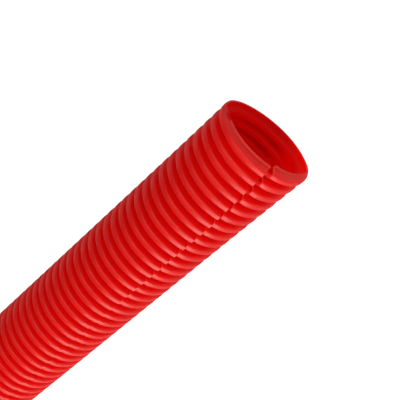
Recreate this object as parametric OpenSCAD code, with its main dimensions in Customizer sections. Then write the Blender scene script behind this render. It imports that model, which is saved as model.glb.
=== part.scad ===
// Split corrugated conduit: one thin-walled plastic tube with annular ribs,
// slit along its length so that cables can be laid in from the side.
// The piece lies along X on its crests, with its middle over the origin.

/* [Stock] */
// Nominal length of the piece; both cuts fall in the middle of a groove
length = 1000; // [100:50:1500]
// Diameter over the rib crests
outer_d = 28.5; // [20:0.5:40]
// Thickness of the moulded wall
wall = 0.5; // [0.4:0.05:0.6]

/* [Ribs] */
// Distance from one rib to the next
pitch = 3.66; // [3.4:0.02:4.6]
// Height of a rib above the groove beside it
rib_h = 2.3; // [1.6:0.1:2.8]
// Width of the flat top of a rib, measured to its sharp corners
crest_w = 1.75; // [1.6:0.05:1.9]
// Length along the tube that a flank takes between crest and groove
flank_run = 0.5; // [0.3:0.05:0.6]
// Radius on the corners of the crests, which two tangent points and a flat between them stand for
crest_r = 0.4; // [0.2:0.05:0.5]

/* [Slit] */
// Width of the slit at the crests
slit_gap = 0.4; // [0.2:0.1:2]
// Angle of the slit round the tube, from the top towards the side at -Y
slit_lean = 33; // [0:1:90]

/* [Hidden] */
$fn = 96;
conduit_red = [0.85, 0.13, 0.1];
outer_r = outer_d / 2;
groove_r = outer_r - rib_h;
ribs = floor(length / pitch);
half_len = ribs * pitch / 2;
slit_deg = 2 * asin(slit_gap / 2 / outer_r);

// A flank's place at any radius, from the middle of its rib, on the outer skin and on the inner one
flank_shift = wall * sqrt(1 + pow(flank_run / rib_h, 2));
function outer_x(r) = crest_w / 2 + flank_run * (outer_r - r) / rib_h;
function inner_x(r) = outer_x(r) - flank_shift;

// How far a rounding reaches back from the crest's corner, and where it meets the flank
round_back = crest_r * tan((90 - atan(flank_run / rib_h)) / 2);
round_down = round_back * rib_h / norm([rib_h, flank_run]);

// Half a rib on each skin, from its crest to its groove, each point as [radius, distance from the rib's middle]
outer_half = [[outer_r, outer_x(outer_r) - round_back], [outer_r - round_down, outer_x(outer_r - round_down)],
    [groove_r, outer_x(groove_r)]];
inner_half = [for (r = [outer_r - wall, groove_r - wall]) [r, inner_x(r)]];

function backwards(pts) = [for (i = [len(pts) - 1:-1:0]) pts[i]];

// A whole skin of ribs, from one cut end to the other
function skin(half) =
    let (rib = concat([for (p = backwards(half)) [p[0], -p[1]]], half), end_r = half[len(half) - 1][0])
    concat([[end_r, -half_len]],
        [for (i = [0:ribs - 1], p = rib) [p[0], p[1] + (i + 0.5) * pitch - half_len]],
        [[end_r, half_len]]);

module conduit() {
    color(conduit_red)
        translate([0, 0, outer_r])
            rotate([0, 90, 0])
                rotate([0, 0, 180 + slit_lean + slit_deg / 2])
                    rotate_extrude(angle = 360 - slit_deg)
                        polygon(concat(skin(outer_half), backwards(skin(inner_half))));
}

conduit();
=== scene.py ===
import bpy
import math
import numpy as np
from mathutils import Matrix, Vector


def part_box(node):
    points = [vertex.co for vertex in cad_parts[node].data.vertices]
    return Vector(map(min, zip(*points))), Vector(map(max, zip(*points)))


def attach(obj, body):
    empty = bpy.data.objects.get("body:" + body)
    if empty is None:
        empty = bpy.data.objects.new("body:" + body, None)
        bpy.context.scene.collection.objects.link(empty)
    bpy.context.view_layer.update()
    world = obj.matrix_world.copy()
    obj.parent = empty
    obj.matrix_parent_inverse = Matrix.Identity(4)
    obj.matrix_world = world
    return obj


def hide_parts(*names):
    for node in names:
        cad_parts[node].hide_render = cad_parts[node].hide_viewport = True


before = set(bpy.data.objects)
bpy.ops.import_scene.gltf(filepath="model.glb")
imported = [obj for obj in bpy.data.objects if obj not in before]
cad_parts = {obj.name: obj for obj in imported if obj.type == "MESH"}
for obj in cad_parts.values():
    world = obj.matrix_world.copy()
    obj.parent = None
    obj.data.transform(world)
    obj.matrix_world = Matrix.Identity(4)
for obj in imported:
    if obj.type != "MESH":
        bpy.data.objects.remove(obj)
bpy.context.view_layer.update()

mm = 0.001
touching = 1e-6  # points nearer than this are one point
white = (1, 1, 1, 1)


def deselectAll():
    if bpy.context.object and bpy.context.object.mode != "OBJECT":
        bpy.ops.object.mode_set(mode="OBJECT")
    bpy.ops.object.select_all(action="DESELECT")


def pickOnly(piece):
    deselectAll()
    bpy.context.view_layer.objects.active = piece
    piece.select_set(True)


def applyAll(piece):
    pickOnly(piece)
    for modifier in list(piece.modifiers):
        bpy.ops.object.modifier_apply(modifier=modifier.name)


class Wire:
    # A socket that carries a value through a shader, with ordinary sums on it
    def __init__(self, shader, socket):
        self.shader = shader
        self.socket = socket

    def sum(self, kind, first, second):
        return self.shader.node("ShaderNodeMath", {"operation": kind}, {0: first, 1: second})

    def __add__(self, other):
        return self.sum("ADD", self, other)

    def __radd__(self, other):
        return self.sum("ADD", other, self)

    def __sub__(self, other):
        return self.sum("SUBTRACT", self, other)

    def __rsub__(self, other):
        return self.sum("SUBTRACT", other, self)

    def __mul__(self, other):
        return self.sum("MULTIPLY", self, other)

    def __rmul__(self, other):
        return self.sum("MULTIPLY", other, self)


class Shader:
    # The nodes of a material or of the surroundings
    def __init__(self, owner):
        owner.use_nodes = True
        self.owner = owner
        self.tree = owner.node_tree
        self.tree.nodes.clear()

    def node(self, kind, settings=None, inputs=None, out=0):
        made = self.tree.nodes.new(kind)
        for key, value in (settings or {}).items():
            setattr(made, key, value)
        for key, value in (inputs or {}).items():
            if isinstance(value, Wire):
                self.tree.links.new(value.socket, made.inputs[key])
            else:
                made.inputs[key].default_value = value
        return Wire(self, made.outputs[out]) if made.outputs else made


# The outside, the inside and the cut faces of the wall each have their own finish
plastic = {
    "redOutside": (0.9, 0.004, 0.003, 1),
    "redInside": (0.9, 0.004, 0.003, 1),
    "redCut": (1, 0.085, 0.06, 1),  # paler on the cut faces than on the rest of the wall, so the cut edges show as pale lines
    "redThrough": (0.98, 0.004, 0.003, 1),  # light that has come through the wall
    "throughOutside": 0.62,  # share of the light that the thin wall lets through
    "throughInside": 0.74,
    "throughCut": 0.58,
    "sheenTint": (1, 0.92, 0.8, 1),
    "sheenOutside": 1.0,
    "sheenInside": 0.35,  # the inside never touched the mould
    "sheenCut": 1.0,
    "roughOutside": 0.35,
    "roughInside": 0.5,
    "roughCut": 0.5,
    "mottleScale": 350,
    "mottleDetail": 4,
    "mottleRough": 0.06,  # how much the mottle changes the roughness
    "mottleBump": 0.04,
    "mottleDepth": 0.0002,  # in metres
}


def redPlastic(side):
    shader = Shader(bpy.data.materials.new("redPlastic" + side))
    place = shader.node("ShaderNodeTexCoord", out="Object")
    mottle = shader.node("ShaderNodeTexNoise", inputs={
        "Vector": place, "Scale": plastic["mottleScale"], "Detail": plastic["mottleDetail"]})
    bump = shader.node("ShaderNodeBump", inputs={
        "Height": mottle, "Strength": plastic["mottleBump"], "Distance": plastic["mottleDepth"]})
    skin = shader.node("ShaderNodeBsdfPrincipled", inputs={
        "Base Color": plastic["red" + side],
        "Roughness": plastic["rough" + side] + plastic["mottleRough"] * (mottle - 0.5),
        "Specular Tint": plastic["sheenTint"],
        "Specular IOR Level": plastic["sheen" + side],
        "Normal": bump,
    })
    lit = shader.node("ShaderNodeBsdfTranslucent", inputs={"Color": plastic["redThrough"]})
    wall = shader.node("ShaderNodeMixShader", inputs={0: plastic["through" + side], 1: skin, 2: lit})
    shader.node("ShaderNodeOutputMaterial", inputs={"Surface": wall})
    return shader.owner


print("making the plastic")
reds = [redPlastic(side) for side in ("Outside", "Inside", "Cut")]

# Values of the tube that a user may change, in millimetres and degrees
tube = {
    "pitch": 3.66,  # one rib to the next
    "ribHeight": 2.3,
    "crestWidth": 1.75,
    "flankRun": 0.5,
    "wall": 0.5,
    "crestRound": 0.3,  # on the middle line of the wall
    "grooveRound": 0.3,
    "roundReach": 0.8,  # how far a rounding goes from its corner, as a share of its radius
    "slitLean": 33,  # from the top towards -Y
    "slitGap": 0.06,  # where the lips lie closed
    "turns": 60,  # faces round the tube
    "fineRibs": 36,  # ribs beside the mouth with full rounding
    "fineSteps": 4,
    "plainSteps": 2,
    "plainPieces": 4,
    "smoothBelow": 35,  # edges sharper than this stay sharp
}

low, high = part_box("conduit")
outerRadius = (high.z - low.z) / 2
axisHeight = (high.z + low.z) / 2
mouthX = high.x
tailX = low.x
pitch = tube["pitch"] * mm
ribCount = round((mouthX - tailX) / pitch)
slitAngle = math.radians(tube["slitLean"])


def ribLine():
    # Middle line of the wall over one pitch, groove to groove: (place along the tube, radius)
    crest = outerRadius - tube["wall"] / 2 * mm
    groove = crest - tube["ribHeight"] * mm
    slope = tube["flankRun"] / tube["ribHeight"]
    lean = math.hypot(1, slope)
    crestHalf = (tube["crestWidth"] / 2 + slope * tube["wall"] / 2 - tube["wall"] / 2 * lean) * mm
    footHalf = crestHalf + tube["flankRun"] * mm
    half = pitch / 2
    return [(-half, groove), (-footHalf, groove), (-crestHalf, crest),
            (crestHalf, crest), (footHalf, groove), (half, groove)]


def makeSkin(name, firstRib, ribs, steps):
    # The middle skin of one stretch of the tube: a rib's line is drawn, rounded, spun and repeated
    gap = tube["slitGap"] * mm / outerRadius
    start = slitAngle - gap / 2  # one lip of the slit; the spin ends at the other
    outward = Vector((0, -math.sin(start), math.cos(start)))
    centre = Vector((mouthX - (firstRib + 0.5) * pitch, 0, axisHeight))
    points = [centre + Vector((x, 0, 0)) + r * outward for x, r in ribLine()]
    deselectAll()
    bpy.ops.mesh.primitive_plane_add(size=pitch, location=points[0])
    piece = bpy.context.object
    piece.name = name
    bpy.ops.object.transform_apply(location=True, rotation=True, scale=True)
    bpy.ops.object.mode_set(mode="EDIT")
    bpy.ops.mesh.merge(type="CENTER")
    for a, b in zip(points, points[1:]):
        bpy.ops.mesh.extrude_region_move(TRANSFORM_OT_translate={"value": b - a})
    # Round the crest corners and the groove corners of the line
    for corners, radius in (((2, 3), tube["crestRound"]), ((1, 4), tube["grooveRound"])):
        bpy.ops.mesh.select_all(action="DESELECT")
        bpy.ops.object.mode_set(mode="OBJECT")
        for vertex in piece.data.vertices:
            vertex.select = any((vertex.co - points[i]).length < touching for i in corners)
        bpy.ops.object.mode_set(mode="EDIT")
        bpy.ops.mesh.bevel(affect="VERTICES", offset_type="OFFSET", segments=steps,
                           offset=radius * mm * tube["roundReach"])
    bpy.ops.mesh.select_all(action="SELECT")
    bpy.ops.mesh.spin(steps=tube["turns"], angle=2 * math.pi - gap,
                      center=(0, 0, axisHeight), axis=(1, 0, 0))
    bpy.ops.mesh.select_all(action="SELECT")
    bpy.ops.mesh.remove_doubles(threshold=touching)
    bpy.ops.mesh.normals_make_consistent(inside=False)
    bpy.ops.object.mode_set(mode="OBJECT")
    array = piece.modifiers.new("ribs", "ARRAY")
    array.count = ribs
    array.use_relative_offset = False
    array.use_constant_offset = True
    array.constant_offset_displace = (-pitch, 0, 0)
    array.use_merge_vertices = True
    array.merge_threshold = touching
    applyAll(piece)
    return piece


def giveWall(piece):
    for red in reds:
        piece.data.materials.append(red)
    wall = piece.modifiers.new("wall", "SOLIDIFY")
    wall.thickness = tube["wall"] * mm
    wall.offset = 0
    wall.use_even_offset = True
    wall.use_rim = True
    wall.material_offset = 1
    wall.material_offset_rim = 2
    applyAll(piece)
    pickOnly(piece)
    bpy.ops.object.shade_smooth_by_angle(angle=math.radians(tube["smoothBelow"]))


# How the mouth was cut and how handling has left it, in millimetres and degrees.
# Angles go round from the top towards -Y
mouth = {
    "lean": 0.8,  # the ribs' undersides lie this much nearer the tail than their tops
    "leanAngle": 195,
    "leanReach": 60,
    "cutBack": 1.0,  # from the middle of the last groove to where the cut meets the tube's axis
    "cutTop": 1.18,  # how much nearer the mouth the cut lies at the top of the tube than on its axis
    "cutSide": 0.32,  # the same for the side at -Y
    "oval": 0.71,  # swelling along the long diameter, and as much sinking across it
    "ovalAngle": 121,
    "ovalReach": 13.3,
    "flat": 0.94,  # the underside is pressed in by this much
    "flatAngle": 223,
    "flatReach": 9,
    "slip": 0.87,  # the lower lip of the slit lies this much nearer the mouth than the upper one
    "slipReach": 65,
    "slipFade": 0.33,
    "slipSpan": 278,  # how far round from the lower lip the slip is spread
    "ajar": 1.4,  # the upper lip stands back by this much at the very end
    "ajarLower": 0.4,  # the same for the lower lip
    "ajarReach": 22,
    "ajarFade": 0.8,  # under 1 the lips stay open longer and close more suddenly
    "ajarSpan": 0.8,  # how far round from the slit the opening is felt, in radians
    "ajarGroove": 0.1,  # share of that opening at the bottom of the grooves
    "notch": 1.3,  # the lower lip's corner at the very end has gone
    "notchReach": 1.5,
    "slant": 0.45,  # on top the cut face slants back by this much from the inside to the outside
    "slantReach": 0.6,
    "slantSpread": 2,  # higher keeps the slant full further down the sides
    "droop": 0.3,  # the lower lip's edge bends inwards
    "droopReach": 1.2,
}

cutX = mouthX - mouth["cutBack"] * mm
knife = Vector((outerRadius / mm, mouth["cutSide"], -mouth["cutTop"])).normalized()


def turnPlaces(piece):
    # Each vertex as its place along the tube, its angle round it and its distance from the axis
    places = np.zeros(len(piece.data.vertices) * 3)
    piece.data.vertices.foreach_get("co", places)
    x, y, z = places.reshape(-1, 3).T
    return x, np.arctan2(-y, z - axisHeight), np.hypot(y, z - axisHeight)


def movePlaces(piece, x, angle, radius):
    places = np.stack([x, -radius * np.sin(angle), axisHeight + radius * np.cos(angle)], axis=1)
    piece.data.vertices.foreach_set("co", places.ravel())
    piece.data.update()


def fade(depth, reach):
    return np.exp(-depth / (reach * mm))


def leanRibs(piece):
    # The ribs stand a little askew beside the mouth
    x, angle, radius = turnPlaces(piece)
    under = np.maximum(-np.cos(angle - math.radians(mouth["leanAngle"] - 180)), 0) ** 2
    depth = np.maximum(cutX - x, 0)
    share = np.clip(1 - depth / (mouth["leanReach"] * mm), 0, 1)
    movePlaces(piece, x - mouth["lean"] * mm * under * share, angle, radius)


def cutMouth(piece):
    # The knife went through askew: along the last groove on top, through the last rib underneath
    pickOnly(piece)
    bpy.ops.object.mode_set(mode="EDIT")
    bpy.ops.mesh.select_all(action="SELECT")
    bpy.ops.mesh.bisect(plane_co=(cutX, 0, axisHeight), plane_no=knife,
                        clear_outer=True, threshold=touching / 10)
    bpy.ops.object.mode_set(mode="OBJECT")


def settleMouth(piece):
    # Handling has pressed the mouth out of round and slid one lip of the slit past the other
    x, angle, radius = turnPlaces(piece)
    depth = np.maximum(cutX - x, 0)
    behind = -(knife.x * (x - cutX) - knife.y * radius * np.sin(angle) + knife.z * radius * np.cos(angle))
    past = (angle - slitAngle) % (2 * math.pi)  # how far round from the lower lip
    upper = 2 * math.pi - past
    height = np.clip((radius - outerRadius) / (tube["ribHeight"] * mm) + 1, 0, 1)
    pressed = np.maximum(np.cos(angle - math.radians(mouth["flatAngle"])), 0) ** 2
    swollen = np.cos(2 * (angle - math.radians(mouth["ovalAngle"])))
    radius += mouth["oval"] * mm * swollen * fade(depth, mouth["ovalReach"])
    radius -= mouth["flat"] * mm * pressed * fade(depth, mouth["flatReach"])
    radius -= mouth["droop"] * mm * fade(past * outerRadius, mouth["droopReach"])
    gape = np.clip(1 - depth / (mouth["ajarReach"] * mm), 0, 1) ** mouth["ajarFade"] * mm / outerRadius
    gape = gape * (mouth["ajarGroove"] + (1 - mouth["ajarGroove"]) * height)
    outer = np.arange(len(x)) < len(x) // 2  # Solidify keeps the outer face's vertices first
    top = np.clip(mouth["slantSpread"] * np.cos(angle), 0, 1)
    slant = outer * top * fade(behind, mouth["slantReach"])
    notch = mouth["notch"] * mm / outerRadius * fade(behind, mouth["notchReach"])
    angle = angle - mouth["ajar"] * gape * np.exp(-upper / mouth["ajarSpan"])
    angle = angle + (mouth["ajarLower"] * gape + notch) * np.exp(-past / mouth["ajarSpan"])
    share = np.clip(1 - depth / (mouth["slipReach"] * mm), 0, 1) ** mouth["slipFade"]
    spread = np.clip(past / math.radians(mouth["slipSpan"]), 0, 1)
    x = x + mouth["slip"] * mm * share * (0.5 + 0.5 * np.cos(math.pi * spread))
    x = x - mouth["slant"] * mm * slant
    movePlaces(piece, x, angle, radius)


print("making the tube")
mouthEnd = makeSkin("mouthEnd", -1, tube["fineRibs"] + 1, tube["fineSteps"])
leanRibs(mouthEnd)
cutMouth(mouthEnd)
pieces = [mouthEnd]
done = tube["fineRibs"]
for i in range(tube["plainPieces"]):
    count = (ribCount - done) // (tube["plainPieces"] - i)
    pieces.append(makeSkin("stretch" + str(i + 1), done, count, tube["plainSteps"]))
    done += count
for piece in pieces:
    giveWall(piece)
print("settling the mouth")
settleMouth(mouthEnd)

for piece in pieces:
    triangles = sum(len(face.vertices) - 2 for face in piece.data.polygons)
    print(piece.name, len(piece.data.vertices), triangles)
    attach(piece, "root")
    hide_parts("conduit")

# The floor and the backdrop look white, but light the tube and show in its shine only softly.
# Places, distances and sizes are in metres and powers in watts
studio = {
    "floorSize": 8,
    "floorPale": (0.9, 0.9, 0.9, 1),
    "floorGlow": 0.78,  # share of the floor's light that comes up through it, as in a light tent
    "floorLight": 1.25,
    "floorMirrored": (0.75, 0.75, 0.75, 1),  # duller where the plastic mirrors it
    "surroundings": 0.26,
    "backdrop": 1,  # how pale the surroundings look
    "aimBack": 40,  # the lights point this far behind the mouth, in millimetres
    "ceilingPlace": (0.9, 0.1, 1.15),
    "ceilingSize": 2.4,
    "ceilingPower": 15.8,
    "keyTowards": (-0.53, -0.66, 0.53),
    "keyDistance": 0.75,
    "keySize": 0.6,
    "keyPower": 3.55,
    "sideTowards": (-0.45, -0.85, 0.28),
    "sideDistance": 0.9,
    "sideSize": 0.8,
    "sidePower": 2.9,
}
aim = Vector((mouthX - studio["aimBack"] * mm, 0, axisHeight))


def makeFloor():
    deselectAll()
    bpy.ops.mesh.primitive_plane_add(size=studio["floorSize"], location=(0, 0, low.z))
    floor = bpy.context.object
    floor.name = "floor"
    floor.visible_diffuse = False
    shader = Shader(bpy.data.materials.new("paleFloor"))
    cloth = shader.node("ShaderNodeBsdfDiffuse", inputs={"Color": studio["floorPale"]})
    glow = shader.node("ShaderNodeEmission", inputs={"Color": white, "Strength": studio["floorLight"]})
    both = shader.node("ShaderNodeMixShader", inputs={0: studio["floorGlow"], 1: cloth, 2: glow})
    dull = shader.node("ShaderNodeBsdfDiffuse", inputs={"Color": studio["floorMirrored"]})
    seen = shader.node("ShaderNodeLightPath", out="Is Camera Ray")
    whole = shader.node("ShaderNodeMixShader", inputs={0: seen, 1: dull, 2: both})
    shader.node("ShaderNodeOutputMaterial", inputs={"Surface": whole})
    floor.data.materials.append(shader.owner)


def makeBackdrop():
    shader = Shader(bpy.data.worlds.new("studio"))
    soft = shader.node("ShaderNodeBackground", inputs={"Color": white, "Strength": studio["surroundings"]})
    pale = shader.node("ShaderNodeBackground", inputs={"Color": white, "Strength": studio["backdrop"]})
    seen = shader.node("ShaderNodeLightPath", out="Is Camera Ray")
    whole = shader.node("ShaderNodeMixShader", inputs={0: seen, 1: soft, 2: pale})
    shader.node("ShaderNodeOutputWorld", inputs={"Surface": whole})
    bpy.context.scene.world = shader.owner


def makeLight(name, place, size, power, shape):
    lamp = bpy.data.lights.new(name, "AREA")
    lamp.shape = shape
    lamp.size = size
    lamp.energy = power
    light = bpy.data.objects.new(name, lamp)
    bpy.context.scene.collection.objects.link(light)
    light.location = place
    light.rotation_euler = (aim - Vector(place)).to_track_quat("-Z", "Y").to_euler()


print("setting up the studio")
makeFloor()
makeLight("ceiling", studio["ceilingPlace"], studio["ceilingSize"], studio["ceilingPower"], "SQUARE")
makeLight("keyLight", aim + studio["keyDistance"] * Vector(studio["keyTowards"]),
          studio["keySize"], studio["keyPower"], "DISK")
makeLight("sideLight", aim + studio["sideDistance"] * Vector(studio["sideTowards"]),
          studio["sideSize"], studio["sidePower"], "DISK")
makeBackdrop()
bpy.context.scene.view_settings.view_transform = "Standard"

# The camera looks down past the mouth, and is turned in its own frame
shot = {
    "lens": 84.1,
    "sensor": 36,  # its width, in millimetres like the lens
    "nearest": 0.01,  # in metres; what is closer to the camera isn't drawn
    "ahead": 108.25,  # beyond the mouth, in millimetres
    "aside": -0.44,  # towards +Y
    "above": 219.5,  # over the tube's axis
    "tilt": 31.87,  # from straight down
    "turn": -40.88,
}
cameraData = bpy.data.cameras.new("camera")
cameraData.lens = shot["lens"]
cameraData.sensor_width = shot["sensor"]
cameraData.clip_start = shot["nearest"]
camera = bpy.data.objects.new("camera", cameraData)
bpy.context.scene.collection.objects.link(camera)
tilted = Matrix.Rotation(math.radians(shot["tilt"]), 4, "Y")
turned = tilted @ Matrix.Rotation(math.radians(shot["turn"]), 4, "Z")
camera.matrix_world = Matrix.Translation((
    mouthX + shot["ahead"] * mm, shot["aside"] * mm, axisHeight + shot["above"] * mm)) @ turned
bpy.context.scene.camera = camera
